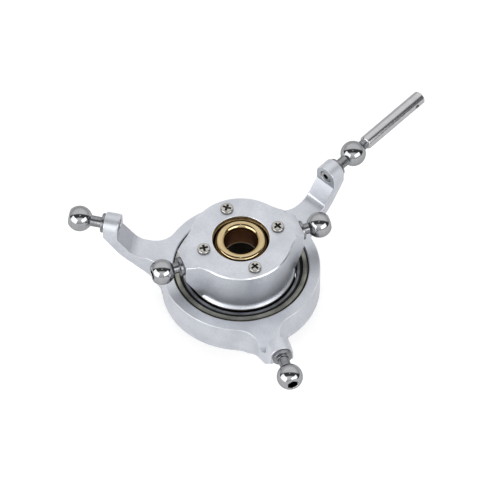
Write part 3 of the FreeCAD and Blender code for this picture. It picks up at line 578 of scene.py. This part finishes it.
# ---------------------------------------------------------------- clamp screws
def cross_radius(width, span, sides=144):
    """Radius of a cross at each angle: where a slot's end cuts the ray, or its side if nearer."""
    angle = np.arange(sides) * 2 * math.pi / sides
    fold = np.abs((angle + math.pi / 4) % (math.pi / 2) - math.pi / 4)
    return np.minimum(span / 2 / np.cos(fold), width / 2 / np.maximum(np.sin(fold), 1e-6))


SCREW_CIRCLE, HUB_TOP = 6.08, 2.5


def clamp_screw(index):
    """A pan head with a cross recess that narrows as it goes down, on a threaded shank. Heights
    count from the hub's top."""
    turn = HUB_TURN + 90 * index
    length, head, edge, high = 6.0, 1.0, 0.25, 0.5
    rows = [(-length, 0.0), (-length, 0.5)]
    rows += thread_rows(0.1 - length, -0.02, 0.6, 0.25, 0.09, 144)
    # the thread and the undercut under the head take painted shade, a dark outline against the hub
    rows += [(0.0, 0.6), (0.0, head - 0.06), (0.07, head - 0.06)]
    shade = len(rows) - 1
    rows += [(0.08, head - 0.02), (0.1, head), (edge - 0.03, head)]
    dome, rise = np.radians(np.linspace(4, 86, 12)), high - edge
    rows += [(edge + rise * math.sin(a), head - rise * (1 - math.cos(a))) for a in dome]
    mouth = cross_radius(0.34, 1.3)
    rows += [(high, mouth + 0.05), (high - 0.04, mouth)]
    lit = len(rows) - 1
    # the cross recess takes painted shade
    rows += [(high - 0.26, mouth * 0.75), (high - 0.3, mouth * 0.6), (high - 0.34, 0.0)]
    bands = [1] * shade + [0] * (lit - shade) + [1] * (len(rows) - 1 - lit)
    out = np.array(outward(turn)) * SCREW_CIRCLE
    return turned(
        f"screw_{index + 1}",
        "rotating",
        f"clamp_screw_{index + 1}",
        [NICKEL, DARK],
        rows,
        sides=144,
        bands=bands,
        spin=turn + 20 + 31 * index,
        at=(out[0], out[1], HUB_TOP),
    )


for index in range(4):
    clamp_screw(index)


# ---------------------------------------------------------------- milled forms
def rounded_copy(name, node, body, rounding, finish_of, joined=True):
    """The milled solid with its square edges broken by a bright narrow bevel. Flat faces stay
    flat: their normals outweigh the small ones. finish_of gives, from the centres and normals of
    the faces, 1 where they were cut after blasting, 2 where they take painted shade and 0
    elsewhere. Joined first makes the triangles of each flat face one, so that no bevel starts on
    a sliver."""
    source = nodes[node].data
    points = np.empty(len(source.vertices) * 3)
    source.vertices.foreach_get("co", points)
    corners = np.empty(len(source.loops), np.int32)
    source.loops.foreach_get("vertex_index", corners)
    points, faces = weld(points.reshape(-1, 3), corners.reshape(-1, 3))
    metals = [ALUMINIUM, CUT, PAINTED_SHADE]
    thing = piece(name, body, [node], points, faces, metals, sharp=40)
    count = len(thing.data.polygons)
    centres, normals = np.empty(count * 3), np.empty(count * 3)
    thing.data.polygons.foreach_get("center", centres)
    thing.data.polygons.foreach_get("normal", normals)
    chosen = finish_of(centres.reshape(-1, 3) / MM, normals.reshape(-1, 3))
    thing.data.polygons.foreach_set("material_index", chosen.astype(np.int32))
    if joined:
        flatten = thing.modifiers.new("whole_faces", "DECIMATE")
        flatten.decimate_type, flatten.angle_limit = "DISSOLVE", math.radians(0.5)
        flatten.delimit = {"MATERIAL"}
    bevel = thing.modifiers.new("edges", "BEVEL")
    bevel.width, bevel.segments = rounding * MM, 2
    bevel.limit_method, bevel.angle_limit = "ANGLE", math.radians(50)
    bevel.use_clamp_overlap = False
    bevel.harden_normals = True
    bevel.material = 1
    weigh = thing.modifiers.new("flats", "WEIGHTED_NORMAL")
    weigh.keep_sharp = True
    return thing


def chamfers(centres, normals):
    """True for a face that leans half way between level and upright, and points away from the
    shaft or towards it, not along an arm's slope."""
    out = centres[:, :2] / np.linalg.norm(centres[:, :2], axis=1, keepdims=True)
    radial = np.abs(np.sum(out * normals[:, :2], axis=1))
    return (np.abs(np.abs(normals[:, 2]) - math.sqrt(0.5)) < 0.05) & (radial > 0.69)


def chamfers_and_socket(centres, normals):
    """Chamfers are cut, and so is the socket's wall above the seat; its lip and the bores below
    it, near the shaft and facing it, take painted shade. The chamfer at its mouth faces up as much
    as in, and stays bright."""
    reach = np.linalg.norm(centres[:, :2], axis=1)
    inward = np.sum(centres[:, :2] * normals[:, :2], axis=1) < -0.05 * reach
    inward &= (normals[:, 2] < 0.5) & (reach < 7.4)
    # the bright wall reaches from 0.1 mm under the ball's centre to 1.9 mm over it
    # outside that wall, faces turned to the shaft take painted shade
    in_painted_shade = inward & (np.abs(centres[:, 2] - 0.9) > 1.0)
    return np.where(in_painted_shade, 2, chamfers(centres, normals) | inward)


rounded_copy("fixed_ring", "stationary_ring", "stationary", 0.10, chamfers, joined=False)
rounded_copy("spinning_hub", "rotating_hub", "rotating", 0.07, chamfers_and_socket)
rounded_copy("split_sleeve", "clamp_sleeve", "rotating", 0.05, chamfers_and_socket)


def hub_blend(name, turn, side):
    """The hollow curve that carries the hub's barrel over into the side of a stud boss. In plan
    it is an arc outside both: its centre lies one radius from the boss's side and one radius
    plus the barrel's from the shaft, and its ends sink 0.015 mm into the walls. The piece is the
    0.5 mm behind that arc. The arc tightens towards the foot, the top edge is chamfered, and the
    top falls away with the boss's top outside the barrel."""
    barrel, radius, foot, boss_fall = 7.96, 7.0, -3.9, 0.52
    # the boss's side in plan, along the stud and across it
    root, tip = np.array((7.1, 3.6)), np.array((9.7, 1.95))
    way = (tip - root) / np.linalg.norm(tip - root)
    out = np.array((-way[1], way[0]))
    share = np.linspace(-0.06, 1.06, 29)
    sunk = 0.015 * np.abs(2 * share - 1) ** 8
    edge = 0.15 - 0.12 * np.clip(share, 0, 1)
    # height, radius, how much the chamfer cuts back, fall with the boss's top
    rises = np.linspace(0, 1, 9)
    levels = [(foot + up, radius * (0.3 + 0.7 * up) ** 0.5, 0.0, 0.0) for up in rises]
    levels += [(HUB_TOP - edge, radius, 0.0, boss_fall)]
    levels += [(HUB_TOP + 0.003, radius, 1.0, boss_fall)]
    along, across = np.array(outward(turn)), np.array(outward(turn + 90))
    grid = []
    for height, bend, cut_back, fall in levels:
        near = root @ out + bend
        centre = near * out + math.sqrt((barrel + bend) ** 2 - near**2) * way
        start = math.atan2(-centre[1], -centre[0]) % (2 * math.pi)
        stop = math.atan2(-out[1], -out[0]) % (2 * math.pi)
        angle = start + (stop - start) * share
        arc = np.stack((np.cos(angle), np.sin(angle)), axis=1)
        front = centre + arc * (bend + sunk + cut_back * edge)[:, None]
        behind = centre + arc * (bend + 0.5)
        loop = np.concatenate((front, behind[::-1]))
        spot = loop[:, :1] * along + side * loop[:, 1:] * across
        height = np.broadcast_to(height, share.shape)
        spot[:, 2] = np.concatenate((height, height[::-1]))
        spot[:, 2] -= fall * np.maximum(0, loop[:, 0] - barrel)
        grid.append(spot)
    grid = np.array(grid) * MM
    rows, columns = grid.shape[:2]
    i, j = np.meshgrid(np.arange(rows - 1), np.arange(columns), indexing="ij")
    below, beside = i * columns, (j + 1) % columns
    above = below + columns
    walls = np.stack((below + j, below + beside, above + beside, above + j), axis=-1)
    k = np.arange(len(share) - 1)
    cap = np.stack((k, k + 1, columns - 2 - k, columns - 1 - k), axis=-1)
    faces = np.concatenate((walls.reshape(-1, 4), cap[:, ::-1], cap + (rows - 1) * columns))
    faces = faces if side > 0 else faces[:, ::-1]
    points, faces = grid.reshape(-1, 3), faces.tolist()
    stands_for, metals = ["rotating_hub"], [ALUMINIUM, CUT]
    thing = piece(name, "rotating", stands_for, points, faces, metals, sharp=20)
    normals = np.empty(len(faces) * 3)
    thing.data.polygons.foreach_get("normal", normals)
    leaning = np.abs(normals[2::3] - math.sqrt(0.5)) < 0.1
    thing.data.polygons.foreach_set("material_index", leaning.astype(np.int32))


for number, turn in ((1, HUB_TURN), (2, HUB_TURN + 180)):
    hub_blend(f"boss_blend_{number}_left", turn, 1)
    hub_blend(f"boss_blend_{number}_right", turn, -1)

# the balls and the cage keep the solids' own shapes
for node, material in (("bearing_balls", GROUND), ("bearing_cage", NYLON)):
    nodes[node].data.materials.clear()
    nodes[node].data.materials.append(material)

# ---------------------------------------------------------------- floor, light and camera
view_turn, view_rise = math.radians(43.17), math.radians(52.5)
# level unit vectors towards the viewer and to the viewer's right, and straight up
level = np.array((math.sin(view_turn), -math.cos(view_turn), 0.0))
sideways = np.array((math.cos(view_turn), math.sin(view_turn), 0.0))
up = np.array((0.0, 0.0, 1.0))


def white_card():
    """Matt white card. It is seen as white, mirrored a little less so, and keeps the shadow that
    falls on it. Only those rays see its glow, which so adds no light to matt faces. Under the ring
    the glow fades out, a painted shadow that darkens the card seen through the bore."""
    material = bpy.data.materials.new("white_card")
    material.use_nodes = True
    tree = material.node_tree
    tree.nodes.clear()
    card = add(tree, "ShaderNodeBsdfDiffuse", Color=grey(0.55))
    # painted shadow: the glow fades out towards the middle of the ring, from 10.5 to 3 mm from the
    # shaft
    place = add(tree, "ShaderNodeTexCoord").outputs["Object"]
    flat = add(tree, "ShaderNodeVectorMath", {0: place}, operation="MULTIPLY")
    flat.inputs[1].default_value = (1.0, 1.0, 0.0)
    reach = add(tree, "ShaderNodeVectorMath", {0: flat.outputs[0]}, operation="LENGTH")
    glow_outside_painted_shadow = add(
        tree,
        "ShaderNodeMapRange",
        {"Value": reach.outputs["Value"]},
        interpolation_type="SMOOTHSTEP",
        From_Min=3.0 * MM,
        From_Max=10.5 * MM,
    )
    ray = add(tree, "ShaderNodeLightPath").outputs
    # 0.45 in mirrors and 0.60 to the camera
    glow = add(tree, "ShaderNodeMath", {0: ray["Is Camera Ray"]}, operation="MULTIPLY_ADD")
    glow.inputs[1].default_value = 0.15
    glow.inputs[2].default_value = 0.45
    strength = add(
        tree,
        "ShaderNodeMath",
        {0: glow_outside_painted_shadow.outputs[0], 1: glow.outputs[0]},
        operation="MULTIPLY",
    )
    white = add(tree, "ShaderNodeEmission", {"Strength": strength.outputs[0]}, Color=grey(1.0))
    both = add(tree, "ShaderNodeAddShader", {0: card.outputs[0], 1: white.outputs[0]})
    seen = add(
        tree,
        "ShaderNodeMath",
        {0: ray["Is Camera Ray"], 1: ray["Is Glossy Ray"]},
        operation="MAXIMUM",
    )
    seen = add(
        tree,
        "ShaderNodeMath",
        {0: seen.outputs[0], 1: ray["Is Transmission Ray"]},
        operation="MAXIMUM",
    )
    mix = add(
        tree,
        "ShaderNodeMixShader",
        {0: seen.outputs[0], 1: card.outputs[0], 2: both.outputs[0]},
    )
    # from underneath the card is clear, so that the object's underside can be seen
    clear = add(tree, "ShaderNodeBsdfTransparent")
    back = add(tree, "ShaderNodeNewGeometry").outputs["Backfacing"]
    whole = add(tree, "ShaderNodeMixShader", {0: back, 1: mix.outputs[0], 2: clear.outputs[0]})
    add(tree, "ShaderNodeOutputMaterial", {"Surface": whole.outputs[0]})
    return material


# the floor stands 3 mm below the ring
ground = min(corner[2] for corner in cad_box) - 3.0 * MM
half = 6.0
corners = [(x * half, y * half, ground) for x, y in ((-1, -1), (1, -1), (1, 1), (-1, 1))]
mesh = bpy.data.meshes.new("floor")
mesh.from_pydata(corners, [], [(0, 1, 2, 3)])
mesh.materials.append(white_card())
floor = bpy.data.objects.new("floor", mesh)
bpy.context.scene.collection.objects.link(floor)


def facing(way):
    """Turns an object's own +Z to that unit vector, its +X kept level."""
    x, y, z = way
    return (math.acos(z), 0.0, math.atan2(y, x) + math.pi / 2)


def softbox(name, azimuth, elevation, width, height, radiance):
    """A lit panel 0.45 m away that faces the object. Azimuth is counted from the viewer's side to
    the right. Its power is pi times its area times the brightness that it is to show."""
    lamp = bpy.data.lights.new(name, "AREA")
    lamp.shape = "RECTANGLE"
    lamp.size, lamp.size_y = width, height
    lamp.energy = math.pi * width * height * radiance
    thing = bpy.data.objects.new(name, lamp)
    a, e = math.radians(azimuth), math.radians(elevation)
    way = math.cos(e) * (math.cos(a) * level + math.sin(a) * sideways) + math.sin(e) * up
    thing.location = (way * 0.45).tolist()
    thing.rotation_euler = facing(way)
    bpy.context.scene.collection.objects.link(thing)


softbox("left_softbox", -58, 18, 0.50, 0.35, 2.5)
softbox("right_softbox", 46, 27, 0.44, 0.23, 2.5)
softbox("overhead_lamp", 0, 79, 0.03, 0.03, 5.0)


def white_tent():
    """The world: a white tent round the table, greyer towards the floor. It is open along a strip
    that runs overhead from side to side, 75 degrees up on the viewer's side, and is dark there.
    The strip is where a direction's distance from the plane through it is small."""
    world = bpy.data.worlds.new("white_tent")
    bpy.context.scene.world = world
    world.use_nodes = True
    tree = world.node_tree
    tree.nodes.clear()
    way = add(tree, "ShaderNodeTexCoord").outputs["Generated"]
    height = add(tree, "ShaderNodeSeparateXYZ", {0: way}).outputs["Z"]
    stops = [(0.0, grey(0.55)), (0.35, grey(0.72)), (0.65, grey(1.0)), (1.0, grey(1.0))]
    walls = add(tree, "ShaderNodeValToRGB", {"Fac": height}, stops).outputs["Color"]
    rise = math.radians(75)
    across = add(tree, "ShaderNodeVectorMath", {0: way}, operation="DOT_PRODUCT")
    across.inputs[1].default_value = (math.cos(rise) * up - math.sin(rise) * level).tolist()
    off = add(tree, "ShaderNodeMath", {0: across.outputs["Value"]}, operation="ABSOLUTE")
    stops = [(0.23, grey(0.08)), (0.37, grey(1.0))]
    strip = add(tree, "ShaderNodeValToRGB", {"Fac": off.outputs[0]}, stops).outputs["Color"]
    tent = add(tree, "ShaderNodeVectorMath", {0: walls, 1: strip}, operation="MULTIPLY")
    lit = add(tree, "ShaderNodeBackground", {"Color": tent.outputs[0]}, Strength=1.20)
    add(tree, "ShaderNodeOutputWorld", {"Surface": lit.outputs[0]})


white_tent()

lens = bpy.data.cameras.new("viewer")
lens.sensor_width = 36.0
lens.lens = 420.55
lens.shift_x, lens.shift_y = 0.0182, -0.0033
lens.clip_start, lens.clip_end = 0.01, 100.0
viewer = bpy.data.objects.new("viewer", lens)
viewer.location = ((math.cos(view_rise) * level + math.sin(view_rise) * up) * 0.9).tolist()
viewer.rotation_euler = (math.pi / 2 - view_rise, 0.0, view_turn)
bpy.context.scene.collection.objects.link(viewer)
bpy.context.scene.camera = viewer
bpy.context.scene.view_settings.view_transform = "Standard"
